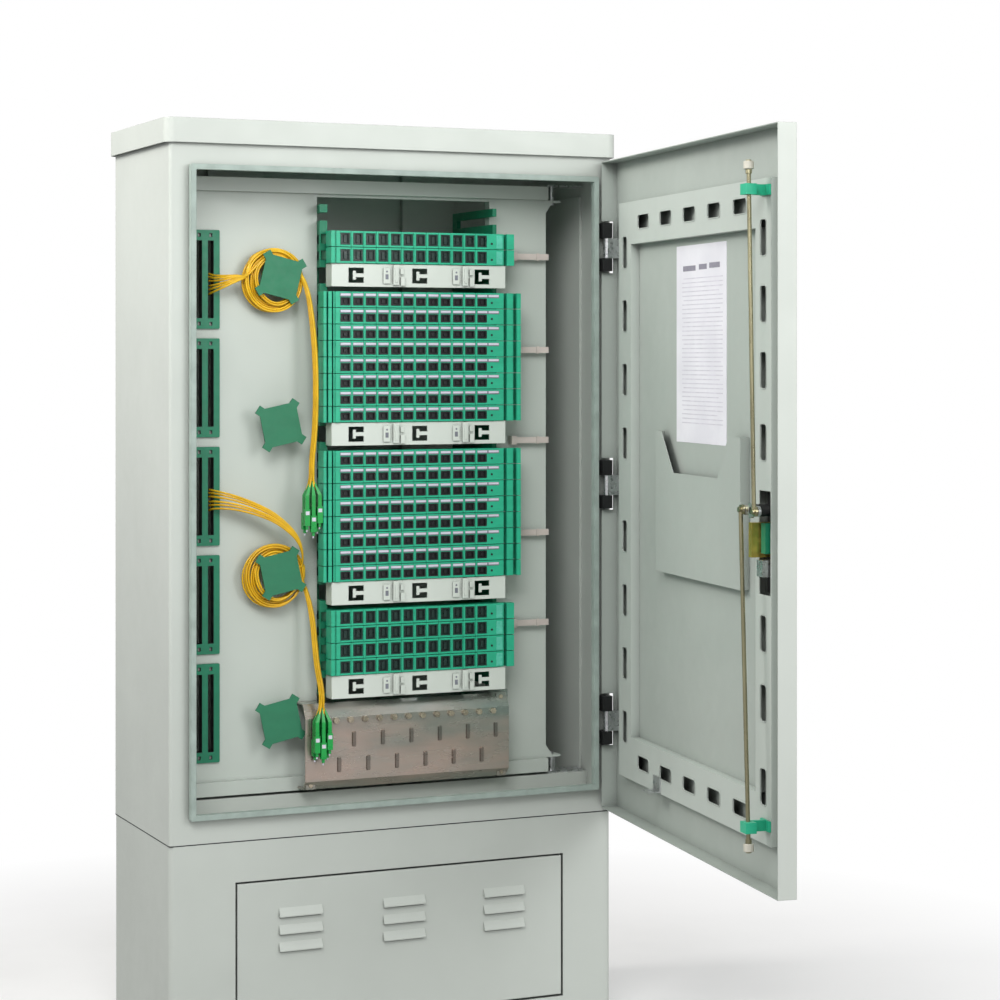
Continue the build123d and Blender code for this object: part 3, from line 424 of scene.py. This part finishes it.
def jacket_points(k, tail, run, coil):
    """A jacket from its slot through the coil to its connector's boot, in the cabinet's mm."""
    points = []
    for n, (x, y, z) in enumerate(tail):
        share = n / (len(tail) - 1)
        points.append((x, y, z + SLOT_FAN[k] * (1 - share) ** SLOT_FAN_POWER))
    points += coil_points(k, **coil)
    dx, dy = CLUSTER[k]
    for n, (x, y, z) in enumerate(run):
        share = min(1, (n + 0.5) / CLUSTER_POINTS)
        points.append((x + dx * share, y + dy * share, z + dx * (1 - share)))
    x, y = over_connector(k, run)
    fan_low = run[-1][2] - FAN
    points += [(x, y, fan_low + BOOT_ABOVE), (x, y, fan_low - BOOT_LAP)]
    return points


def lay_cord(name, points, diameter):
    """A round cord as one spline through the frame."""
    curve = bpy.data.curves.new(name, "CURVE")
    curve.dimensions = "3D"
    curve.bevel_depth = diameter / 2
    curve.bevel_resolution = 3
    spline = curve.splines.new("NURBS")
    spline.points.add(len(points) - 1)
    route = [at(*p) for p in points]
    for point, place in zip(spline.points, route):
        point.co = (*place, 1)
    spline.order_u = 3
    spline.use_endpoint_u = True
    spline.resolution_u = 6
    cord = add_object(name, curve)
    cord.data.materials.append(looks["fibre"])
    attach(cord, "swing_frame")
    return cord


def lay_bundle(name, tail, run, coil):
    """Six jackets in place of a bundle's plain tail, coil and run."""
    stands_for = [f"{name}_tail", f"{name}_coil", f"{name}_run"]
    for k in range(JACKETS):
        points = jacket_points(k, tail, run, coil)
        cord = lay_cord(f"{name}_fibre_{k + 1}", points, JACKET_DIAMETER)
        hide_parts(*stands_for)


lay_bundle("upper", UPPER_TAIL, UPPER_RUN, UPPER_COIL)
lay_bundle("lower", LOWER_TAIL, LOWER_RUN, LOWER_COIL)


# Fittings: small pieces gathered from blocks, discs and bands
TO_METRES = Matrix.Diagonal((MM, MM, MM, 1))
CABINET = TO_METRES @ Matrix.Translation((BODY_LEFT, BODY_FRONT, BODY_FLOOR))
DOOR_ANGLE = radians(82.4)
HINGE = (360.5, -169.5)


def door_matrix():
    """The door's millimetres, S along it from the hinge, W outwards and Z, into the frame."""
    along = Vector((-cos(DOOR_ANGLE), -sin(DOOR_ANGLE), 0))
    outward = Vector((sin(DOOR_ANGLE), -cos(DOOR_ANGLE), 0))
    turn = Matrix((along, outward, Vector((0, 0, 1)))).transposed().to_4x4()
    return TO_METRES @ Matrix.Translation((*HINGE, BODY_FLOOR)) @ turn


DOOR = door_matrix()


class Pile:
    """A mesh gathered from small solids, in the millimetres of the cabinet or the door."""

    def __init__(self):
        self.mesh = bmesh.new()

    def block(self, spans, origin=(0, 0, 0)):
        """A box by its low and high value along each axis, counted from an origin."""
        corners = [[v + o for v, o in zip(corner, origin)] for corner in zip(*spans)]
        low, high = (Vector(corner) for corner in corners)
        made = bmesh.ops.create_cube(self.mesh, size=1)["verts"]
        stretch = Matrix.Diagonal((*(high - low), 1))
        move = Matrix.Translation((low + high) / 2)
        bmesh.ops.transform(self.mesh, verts=made, matrix=move @ stretch)

    def disc(self, centre, radius, thick, sides, axis="Y"):
        """A disc or a prism of some sides round the axis Y or Z, centred on a point."""
        made = bmesh.ops.create_cone(
            self.mesh,
            cap_ends=True,
            segments=sides,
            radius1=radius,
            radius2=radius,
            depth=thick,
        )["verts"]
        turn = Matrix.Rotation(pi / 2, 4, "X") if axis == "Y" else Matrix()
        bmesh.ops.transform(self.mesh, verts=made, matrix=Matrix.Translation(centre) @ turn)

    def band(self, loops):
        """Faces between each loop of points and the next, and from the last to the first."""
        rows = [[self.mesh.verts.new(point) for point in loop] for loop in loops]
        for one, two in zip(rows, rows[1:] + rows[:1]):
            for n in range(len(one)):
                m = (n + 1) % len(one)
                self.mesh.faces.new((one[n], one[m], two[m], two[n]))

    def place(self, name, look, body, slot, frame_of=CABINET, bevel=0):
        """The pile as an object that rides on a body, its edges bevelled by millimetres."""
        bmesh.ops.recalc_face_normals(self.mesh, faces=self.mesh.faces)
        data = bpy.data.meshes.new(name)
        self.mesh.transform(frame_of)
        self.mesh.to_mesh(data)
        self.mesh.free()
        data.materials.append(looks[look])
        made = add_object(name, data)
        if bevel:
            soft = made.modifiers.new("soft_edges", "BEVEL")
            soft.width = bevel * MM
            soft.segments = 2
            soft.limit_method = "ANGLE"
        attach(made, body)


# Trays: four groups from the top, each over a label strip
GROUPS = (2, 8, 8, 4)
TRAY_PITCH = 26
STACK_TOP = 945
STRIP_TALL = 38
GROUP_GAP = 6
FACE = 38
PORT_XS = [299.5 + 21.5 * n for n in range(12)]
PORT_LOW = 3
PORT_DEPTH = 4
# By kind of tray, True for those of a full group of eight: the port's size, and the adapter
# rim's lap over the port's sides and its front and back
PORT_SIZES = {True: (15, 13), False: (16.5, 19)}
RIM_LAPS = {True: 1.2, False: 0}
RIM_DEPTHS = {True: (FACE - 0.5, FACE + 0.2), False: (FACE + 0.2, FACE + 0.4)}
RIM_TALL = 1.8
RIM_WIDE = 2.4
PORT_PLAY = 0.4
PORT_BACK = 0.6
BACK_PLAY = 0.2
CORE_HALF = 2.4
CORE_FRONT = 1.2
CORE_GAP = 3.4
# Blocks by their spans from a port's middle, the face and the tray's underside
SHUTTER = ((-8.6, 8.6), (-1.2, -0.2), (18.4, 21.8))
PANEL_SHUTTER = ((11, 29), (-1.2, -0.2), (18.4, 21.8))
RAIL = ((-9.6, 9.6), (-0.7, 0.2), (17, 22.4))
PANEL_RAIL = ((-9.6, 30), (-0.7, 0.2), (17, 22.4))
CATCH = ((-6, 6), (0.2, 1.6), (21, 22))
# The card spans X from the body's left side
CARD = ((561, 572), (-0.6, 0.2), (1.5, 22.5))
DOT = {"radius": 1.8, "thick": 0.8, "sides": 12}
DOT_PLACE = (553, FACE - 0.3, 9)


def tray_heights():
    """The underside of every tray with its group's count, and that of each label strip."""
    trays, strips = [], []
    z = STACK_TOP
    for count in GROUPS:
        for _ in range(count):
            z -= TRAY_PITCH
            trays.append((z, count))
        z -= STRIP_TALL
        strips.append(z)
        z -= GROUP_GAP
    return trays, strips


def add_adapter(pile, x, z, full):
    """An adapter in a port: the rim of its mouth, the port's back and the core."""
    width, height = PORT_SIZES[full]
    left, right = x - width / 2 + PORT_PLAY, x + width / 2 - PORT_PLAY
    low, high = z + PORT_LOW + PORT_PLAY, z + PORT_LOW + height - PORT_PLAY
    start, end = left - RIM_LAPS[full], right + RIM_LAPS[full]
    depths = RIM_DEPTHS[full]
    between = (low + RIM_TALL, high - RIM_TALL)
    pile.block(((start, end), depths, (low, low + RIM_TALL)))
    pile.block(((start, end), depths, (high - RIM_TALL, high)))
    pile.block(((start, start + RIM_WIDE), depths, between))
    pile.block(((end - RIM_WIDE, end), depths, between))
    back = FACE + PORT_DEPTH - BACK_PLAY
    pile.block(((left, right), (back - PORT_BACK, back), (low, high)))
    core = (low + CORE_GAP, high - CORE_GAP)
    pile.block(((x - CORE_HALF, x + CORE_HALF), (FACE + CORE_FRONT, back), core))


def fit_adapters(body, z, full):
    """An adapter in each port of a tray."""
    adapters = Pile()
    for x in PORT_XS:
        add_adapter(adapters, x, z, full)
    look = "black_plastic" if full else "port_green"
    adapters.place(f"{body}_adapters", look, body, "black_metal", bevel=0.25)


def fit_shutters(body, z):
    """A white shutter over each port and one on the panel, on the pieces of a grey rail."""
    shutters, rails = Pile(), Pile()
    for x in PORT_XS:
        last = x == PORT_XS[-1]
        shutters.block(SHUTTER, (x, FACE, z))
        if last:
            shutters.block(PANEL_SHUTTER, (x, FACE, z))
        rails.block(PANEL_RAIL if last else RAIL, (x, FACE, z))
    rails.place(f"{body}_shutter_rail", "shutter_grey", body, "label_grey", bevel=0.2)
    shutters.place(f"{body}_shutters", "white_plastic", body, "label_grey", bevel=0.4)


def fit_card(body, z):
    """A pale card on a tray's panel."""
    card = Pile()
    card.block(CARD, (0, FACE, z))
    card.place(f"{body}_card", "card_green", body, "tray_green", bevel=0.3)


def mark_tray(body, z, full):
    """The dot on a tray's panel, and outside the full groups a dark catch over each port."""
    marks = Pile()
    if not full:
        for x in PORT_XS:
            marks.block(CATCH, (x, FACE, z))
    dot_x, dot_y, rise = DOT_PLACE
    marks.disc((dot_x, dot_y, z + rise), **DOT)
    marks.place(f"{body}_marks", "black_plastic", body, "black_metal")


def dress_trays():
    """Adapters in every tray; shutters in the full groups and a card on the other trays."""
    for number, (z, count) in enumerate(tray_heights()[0], start=1):
        body = f"tray_{number:02d}"
        full = count == max(GROUPS)
        fit_adapters(body, z, full)
        if full:
            fit_shutters(body, z)
        else:
            fit_card(body, z)
        mark_tray(body, z, full)


dress_trays()

# Label strips: blocks from a plate's middle, the face and the strip's lower edge
PLATE_XS = (369.8, 490)
CLIP_BLOCKS = (
    ((-6, 6), (-1.2, 0.3), (6, 31)),
    ((10.5, 20.5), (-3, 0.3), (4, 36)),
    ((13, 18), (-4.2, -2.8), (8, 32)),
    ((23.5, 31), (-2.2, 0.3), (3, 17)),
    ((23.5, 29), (-1.4, 0.3), (21, 30)),
)
PLATE_SLOT = ((-2.6, 2.6), (-1.5, -0.8), (13, 21))
PLATE_SCREW = {"radius": 1.5, "thick": 0.8, "sides": 12}
PLATE_SCREW_PLACE = (FACE - 1.4, 25.5)


def dress_label_strips():
    """A screwed plate and a pair of clips beside the first two hooks of each label strip."""
    clips, screws = Pile(), Pile()
    for z in tray_heights()[1]:
        for x in PLATE_XS:
            for spans in CLIP_BLOCKS:
                clips.block(spans, (x, FACE, z))
            screws.block(PLATE_SLOT, (x, FACE, z))
            screw_y, rise = PLATE_SCREW_PLACE
            screws.disc((x, screw_y, z + rise), **PLATE_SCREW)
    clips.place("label_clips", "label_grey", "swing_frame", "label_grey", bevel=0.6)
    screws.place("label_screws", "shutter_grey", "swing_frame", "black_metal", bevel=0.2)


dress_label_strips()

# Connectors: how much lower each hangs, its boot, and its band and ferrule below that
CONNECTOR_DROPS = (4, 14, 0, 10, 2, 8)
BOOT_TALL = 18
CONNECTOR_BAND = ((-3.2, 3.2), (-4.4, -3.6), (-9, -3))
FERRULE = {"radius": 1.3, "thick": 4, "sides": 14, "axis": "Z"}
FERRULE_DROP = 33.5


def dress_connectors(name, run):
    """White ends and light bands on the green connectors."""
    bands = Pile()
    for k, drop in enumerate(CONNECTOR_DROPS):
        x, y = over_connector(k, run)
        top = run[-1][2] - FAN - BOOT_TALL - drop
        bands.block(CONNECTOR_BAND, (x, y, top))
        bands.disc((x, y, top - FERRULE_DROP), **FERRULE)
    ends = f"{name}_connector_ends"
    bands.place(ends, "white_plastic", "swing_frame", "label_grey", bevel=0.2)


dress_connectors("upper", UPPER_RUN)
dress_connectors("lower", LOWER_RUN)

# Entry plates: half sizes of the slots and of the small holes above and below them, and how
# deep the edging of each goes
ENTRY_XS = (75.5, 94.5)
ENTRY_ZS = [866 - 170 * n for n in range(5)]
ENTRY_FACE = 91.3
ENTRY_HALF = (4.75, 61)
ENTRY_DEEP = 14
EYE_RISE = 69.5
EYE_HALF = (2.5, 3)
EYE_DEEP = 4
EDGING_HALF = 0.35


def line_opening(pile, x, z, half, deep):
    """A thin edging along the four sides of an opening."""
    half_x, half_z = half
    depths = (ENTRY_FACE, ENTRY_FACE + deep)
    for side in (-1, 1):
        edge = x + side * half_x
        upright = (edge - EDGING_HALF, edge + EDGING_HALF)
        pile.block((upright, depths, (z - half_z, z + half_z)))
        edge = z + side * half_z
        level = (edge - EDGING_HALF, edge + EDGING_HALF)
        pile.block(((x - half_x, x + half_x), depths, level))


def line_entries():
    """Black edging inside each slot and small hole of the entry plates."""
    edging = Pile()
    for z in ENTRY_ZS:
        for x in ENTRY_XS:
            line_opening(edging, x, z, ENTRY_HALF, ENTRY_DEEP)
            line_opening(edging, x, z + EYE_RISE, EYE_HALF, EYE_DEEP)
            line_opening(edging, x, z - EYE_RISE, EYE_HALF, EYE_DEEP)
    edging.place("entry_edging", "black_plastic", "swing_frame", "black_metal")


line_entries()

# Clamp plate: the sheet's front, and the tabs at three of its corners
CLAMP_FACE = 48
LANCE_PROUD = 0.2
CLAMP_TABS = ((577, 55.5, 190), (577, 53.5, 67), (247, 53.5, 67))
TAB = ((-8, 8), (0, 2), (-6, 6))
TAB_BOLT = {"radius": 3.6, "thick": 1.6, "sides": 6}
TAB_BOLT_PROUD = 0.6
FACING = 0.9


def darken_lances():
    """The raised lances of the clamp plate are painted darker than the sheet round them, as
    painted shade.
    """
    node = nodes["clamp_plate"]
    node.data.materials.append(looks["galvanised_painted_shade"])
    for face in node.data.polygons:
        y = face.center.y / MM - BODY_FRONT
        if y < CLAMP_FACE - LANCE_PROUD and abs(face.normal.z) < FACING:
            face.material_index = 1


def bolt_clamp_plate():
    """Bolted tabs at three corners of the clamp plate."""
    tabs, bolts = Pile(), Pile()
    for x, y, z in CLAMP_TABS:
        tabs.block(TAB, (x, y, z))
        bolts.disc((x, y - TAB_BOLT_PROUD, z), **TAB_BOLT)
    tabs.place("clamp_tabs", "galvanised", "swing_frame", "galvanised", bevel=0.4)
    bolts.place("clamp_tab_bolts", "screw", "swing_frame", "zinc", bevel=0.3)


darken_lances()
bolt_clamp_plate()

CORNER_STEPS = 4


def rounded_loop(middle, size, corner, grow):
    """Points round a rounded rectangle, grown outwards by a distance."""
    points = []
    for quarter in range(4):
        u = middle[0] + (1, -1, -1, 1)[quarter] * (size[0] / 2 - corner)
        v = middle[1] + (1, 1, -1, -1)[quarter] * (size[1] / 2 - corner)
        for n in range(CORNER_STEPS + 1):
            a = (quarter + n / CORNER_STEPS) * pi / 2
            points.append((u + (corner + grow) * cos(a), v + (corner + grow) * sin(a)))
    return points


# The joint between body and plinth, drawn as a black strip of painted shade for its gap: its
# height, and how far it goes in and out of the wall
BODY_SIZE = (750, 307)
BODY_CORNER = 5
SEAM_TALL = 1.5
SEAM_IN = -0.2
SEAM_OUT = 0.3


def draw_seam():
    """The joint between the body and the plinth, on all four sides, drawn black as painted
    shade in its gap.
    """
    middle = (BODY_SIZE[0] / 2, BODY_SIZE[1] / 2)
    low, high = -SEAM_TALL / 2, SEAM_TALL / 2
    loops = []
    for grow, z in ((SEAM_IN, low), (SEAM_OUT, low), (SEAM_OUT, high), (SEAM_IN, high)):
        outline = rounded_loop(middle, BODY_SIZE, BODY_CORNER, grow)
        loops.append([(x, y, z) for x, y in outline])
    seam = Pile()
    seam.band(loops)
    seam.place("plinth_seam", "black_plastic", "cabinet", "black_metal")


draw_seam()

# Door frame: its face, its upright slots and the level holes of its top and bottom bar
FRAME_FACE = 4
OPENING_CORNER = 5
SLOT_SIZE = (21, 50)
SLOTS = {
    74.5: (912, 810, 708, 606, 457, 354, 253, 151),
    647.5: (910, 818, 726, 626, 361, 265, 149),
}
HOLE_SIZE = (50, 21)
HOLE_SS = [361 + 100 * n for n in range(-2, 3)]
HOLE_ZS = (104, 958)
ROLL_WIDE = 1.6
ROLL_PROUD = 0.7


def roll_edge(pile, s, z, size):
    """A rolled edge round an opening of the door's frame."""
    loops = []
    section = ((0, 0), (0, ROLL_PROUD), (ROLL_WIDE, ROLL_PROUD), (ROLL_WIDE, 0))
    for grow, lift in section:
        outline = rounded_loop((s, z), size, OPENING_CORNER, grow)
        loops.append([(u, FRAME_FACE - lift, v) for u, v in outline])
    pile.band(loops)


def roll_edges():
    """Rolled edges round all the openings of the door frame."""
    edges = Pile()
    for s, heights in SLOTS.items():
        for z in heights:
            roll_edge(edges, s, z, SLOT_SIZE)
    for z in HOLE_ZS:
        for s in HOLE_SS:
            roll_edge(edges, s, z, HOLE_SIZE)
    edges.place("door_frame_rims", "frame_paint_shaded", "door", "door_inside", DOOR)


roll_edges()

# Finishes by place on the door: its free edge, its outer skin, and the lock's pieces with
# their low and high S and Z
DOOR_EDGE = 726.5
DOOR_SKIN = 20
SKIN_REACH = 1
LOCK_PARTS = {
    "brass": (638, 649.5, 465, 516),
    "plate_green": (653.5, 670, 472, 516),
    "zinc": (647.5, 669, 440, 465),
}
LOCK_REACH = 0.5
LOCK_DEPTH = 14


def paint_door_outside():
    """The door's outer skin and free edge have the body's paint."""
    node = nodes["door_pan"]
    node.data.materials.append(looks["paint"])
    to_door = DOOR.inverted()
    for face in node.data.polygons:
        along, outward, _ = (to_door.to_3x3() @ face.normal).normalized()
        s, w, _ = to_door @ face.center
        on_edge = along > FACING and s > DOOR_EDGE - SKIN_REACH
        on_skin = outward > FACING and w > DOOR_SKIN - SKIN_REACH
        if on_edge or on_skin:
            face.material_index = 1


def paint_lock():
    """The lock's pieces by their place on the door: brass barrel, green guard, zinc latch."""
    node = nodes["lock_case"]
    for look in LOCK_PARTS:
        node.data.materials.append(looks[look])
    to_door = DOOR.inverted()
    for face in node.data.polygons:
        s, w, z = to_door @ face.center
        for slot, (low_s, high_s, low_z, high_z) in enumerate(LOCK_PARTS.values(), start=1):
            along = low_s - LOCK_REACH < s < high_s + LOCK_REACH
            level = low_z - LOCK_REACH < z < high_z + LOCK_REACH
            if along and level and w < LOCK_DEPTH:
                face.material_index = slot


paint_door_outside()
paint_lock()

# Instruction sheet: plain bars in place of its print, some indented and some shorter
SHEET_FACE = 18
HEADING = ((300, 352), (366, 398), (408, 450))
HEADING_ZS = (874, 882)
HEADING_RISE = 1
HEADING_THICK = 0.2
ROWS = 34
ROW_TOP = 862
ROW_PITCH = 6.6
ROW_TALL = 1.5
ROW_THICK = 0.15
ROW_START = 296
ROW_END = 462
INDENT = 6
INDENT_EVERY = 5
SHORT_BY = 26
SHORT_EVERY = 4
SHORT_PHASE = 2.3


def print_sheet():
    """The instruction sheet's heading and rows, as plain bars."""
    rows, heading = Pile(), Pile()
    for n, span in enumerate(HEADING):
        place = (0, SHEET_FACE, HEADING_RISE * n)
        heading.block((span, (-HEADING_THICK, 0), HEADING_ZS), place)
    for n in range(ROWS):
        start, end = ROW_START, ROW_END
        if n % INDENT_EVERY == 0:
            start += INDENT
        if n % SHORT_EVERY == SHORT_EVERY - 1:
            end -= SHORT_BY * abs(sin(SHORT_PHASE * n))
        place = (0, SHEET_FACE, ROW_TOP - ROW_PITCH * n)
        rows.block(((start, end), (-ROW_THICK, 0), (0, ROW_TALL)), place)
    rows.place("sheet_rows", "print_pale", "door", "paper", DOOR)
    heading.place("sheet_heading", "print_dark", "door", "paper", DOOR)


print_sheet()


# Floor, light and background
FLOOR_REACH = 6
FLOOR_DROP = 0.0005
FADE_START, FADE_END = 0.7, 1.5
FLOOR_AS_LIGHT = (0.42, 0.42, 0.42)
BACKGROUND_AS_LIGHT = (0.62, 0.62, 0.615, 1)
WHITE = (1, 1, 1, 1)


def floor_material():
    """Pale with faint clouds, white away from the cabinet, and greyer as a source of light."""
    s = Shader("floor")
    seen = s.node("ShaderNodeLightPath").outputs["Is Camera Ray"]
    clouds = s.mixed(s.spread(s.noise(2), 0, 1), (0.9, 0.9, 0.9), (0.95, 0.95, 0.95))
    s.colour(s.mixed(seen, FLOOR_AS_LIGHT, clouds))
    s.set(Roughness=0.8)
    away = s.node("ShaderNodeVectorMath")
    away.operation = "LENGTH"
    s.link(s.place, away.inputs[0])
    far = s.spread(away.outputs["Value"], 0, 1, FADE_START, FADE_END)
    both = s.node("ShaderNodeMath")
    both.operation = "MULTIPLY"
    s.link(far, both.inputs[0])
    s.link(seen, both.inputs[1])
    white = s.node("ShaderNodeEmission", Color=WHITE, Strength=1)
    blend = s.node("ShaderNodeMixShader")
    s.link(both.outputs["Value"], blend.inputs["Fac"])
    s.link(s.principled.outputs["BSDF"], blend.inputs[1])
    s.link(white.outputs["Emission"], blend.inputs[2])
    s.link(blend.outputs["Shader"], s.tree.nodes["Material Output"].inputs["Surface"])
    return s.material


def add_floor():
    """A pale floor that fades to white away from the cabinet."""
    data = bpy.data.meshes.new("floor")
    corners = [(x, y, 0) for x, y in ((-1, -1), (1, -1), (1, 1), (-1, 1))]
    data.from_pydata([Vector(c) * FLOOR_REACH for c in corners], [], [(0, 1, 2, 3)])
    data.materials.append(floor_material())
    floor = add_object("floor", data)
    floor.location.z = -FLOOR_DROP


def add_light(name, place, aim, size, power, colour=(1, 1, 1), spread=180):
    """A soft box of a size in metres that faces a point, its beam narrowed by a spread."""
    data = bpy.data.lights.new(name, "AREA")
    data.shape = "RECTANGLE"
    data.size, data.size_y = size
    data.energy = power
    data.color = colour
    data.spread = radians(spread)
    light = add_object(name, data)
    light.location = place
    light.rotation_euler = (Vector(aim) - Vector(place)).to_track_quat("-Z", "Y").to_euler()


def add_background():
    """White to the camera, a softer grey as light."""
    world = bpy.data.worlds.new("studio")
    world.use_nodes = True
    tree = world.node_tree
    ray = tree.nodes.new("ShaderNodeLightPath").outputs["Is Camera Ray"]
    mix = tree.nodes.new("ShaderNodeMix")
    mix.data_type = "RGBA"
    mix.inputs[MIX_A].default_value = BACKGROUND_AS_LIGHT
    mix.inputs[MIX_B].default_value = WHITE
    tree.links.new(ray, mix.inputs["Factor"])
    tree.links.new(mix.outputs[MIX_RESULT], tree.nodes["Background"].inputs["Color"])
    bpy.context.scene.world = world


add_floor()
add_light(
    "key",
    place=(-1.3, -2.6, 2.8),
    aim=(0.1, 0, 1.6),
    size=(1.8, 1.4),
    power=21,
    colour=(1, 0.997, 0.985),
    spread=95,
)
add_light("fill", place=(1.5, -3.6, 1.9), aim=(0.1, -0.3, 1.0), size=(2.0, 1.8), power=50)
add_light(
    "side",
    place=(-2.2, 0.2, 2.7),
    aim=(-0.37, 0, 1.75),
    size=(1.3, 1.1),
    power=17,
    colour=(1, 0.965, 0.935),
    spread=95,
)
add_background()
bpy.context.scene.view_settings.view_transform = "Standard"
